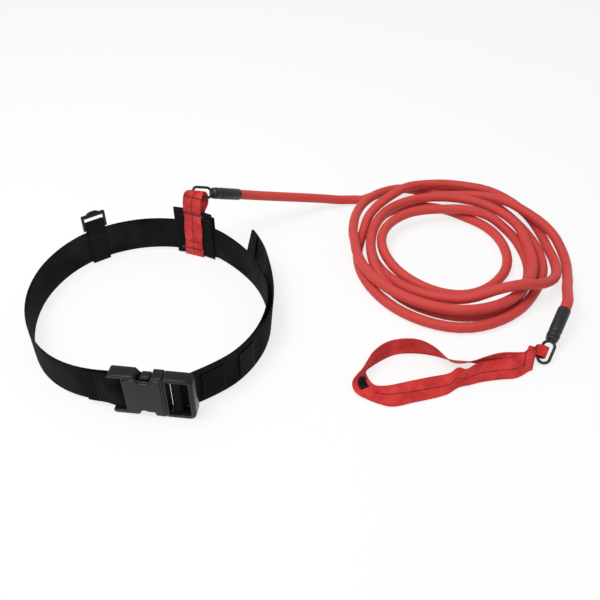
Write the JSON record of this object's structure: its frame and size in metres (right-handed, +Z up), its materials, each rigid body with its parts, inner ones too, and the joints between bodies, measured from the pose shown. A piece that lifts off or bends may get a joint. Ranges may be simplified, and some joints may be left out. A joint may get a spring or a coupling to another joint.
{
  "type": "swim resistance belt",
  "caption": "Waist belt of black webbing with a side-release buckle and a sliding red tether loop, a long red elastic tube lying in a coil, and a red hand strap.",
  "frame": {"origin": "on the floor, under the middle of the box round the belt, the slider and the hand strap, the tube left out", "axes": "+X from the belt towards the hand strap, +Y from the buckle towards the slider at the back of the belt, +Z up"},
  "size_m": [0.7336, 0.4932, 0.112],
  "materials": {
    "black_webbing": "matt woven webbing",
    "hook_tape": "matt hook tape",
    "red_webbing": "matt woven webbing",
    "red_tube": "satin rubber",
    "black_plastic": "satin moulded plastic",
    "black_fitting": "satin moulded plastic"
  },
  "bodies": {
    "tether": {"tube_lead": "red_tube", "tube_coil": "red_tube", "tube_end": "red_tube", "near_sleeve": "black_fitting", "far_sleeve": "black_fitting", "near_ring": "black_fitting", "far_ring": "black_fitting"},
    "slider": {"slider_inner_panel": "black_webbing", "slider_outer_panel": "black_webbing", "tether_strap": "red_webbing"},
    "belt": {"belt_webbing": "black_webbing", "belt_front_layer": "black_webbing", "tail_front_layer": "black_webbing", "belt_tail": "black_webbing", "hook_patch_front": "hook_tape", "hook_patch_rear": "hook_tape", "buckle_female": "black_plastic"},
    "keeper": {"keeper_strap": "black_webbing", "keeper_lock": "black_plastic"},
    "buckle_male_half": {"buckle_male": "black_plastic", "ladder_loop": "black_webbing"},
    "latch_upper": {"latch_arm_upper": "black_plastic"},
    "latch_lower": {"latch_arm_lower": "black_plastic"},
    "hand_strap_loop": {"hand_strap": "red_webbing", "hand_strap_patch": "black_webbing"}
  },
  "joints": [
    {"name": "near_ring_pivot", "type": "hinge", "parent": "tether", "child": "slider", "pos_m": [-0.11684, 0.15517, 0.09352], "axis": [-0.691, -0.589, 0.419], "range_deg": [0, 15]},
    {"name": "belt_in_slider", "type": "hinge", "parent": "slider", "child": "belt", "pos_m": [-0.19023, -0.00695, 0], "axis": [0, 0, 1], "range_deg": [-8, 9]},
    {"name": "keeper_travel", "type": "hinge", "parent": "belt", "child": "keeper", "pos_m": [-0.1912, 0.02605, 0], "axis": [0, 0, 1], "range_deg": [-10, 9]},
    {"name": "buckle_release", "type": "slide", "parent": "belt", "child": "buckle_male_half", "axis": [0.9925, -0.1219, 0], "range_m": [0, 0.042], "deforming": ["belt_front_layer", "tail_front_layer", "hook_patch_front", "hook_patch_rear", "latch_arm_upper", "latch_arm_lower"]},
    {"name": "latch_upper_press", "type": "hinge", "parent": "buckle_male_half", "child": "latch_upper", "pos_m": [-0.13855, -0.15185, 0.0485], "axis": [-0.1219, -0.9925, 0], "range_deg": [0, 6], "stiffness_Nm_per_rad": 1.2},
    {"name": "latch_lower_press", "type": "hinge", "parent": "buckle_male_half", "child": "latch_lower", "pos_m": [-0.13855, -0.15185, 0.0135], "axis": [0.1219, 0.9925, 0], "range_deg": [0, 6], "stiffness_Nm_per_rad": 1.2},
    {"name": "far_ring_pivot", "type": "hinge", "parent": "tether", "child": "hand_strap_loop", "pos_m": [0.31679, -0.05908, 0.00801], "axis": [0.4849, 0.8099, 0.33], "range_deg": [0, 60]}
  ],
  "couplings": [
    {"joint": "latch_lower_press", "follows": "latch_upper_press", "ratio": 1}
  ]
}
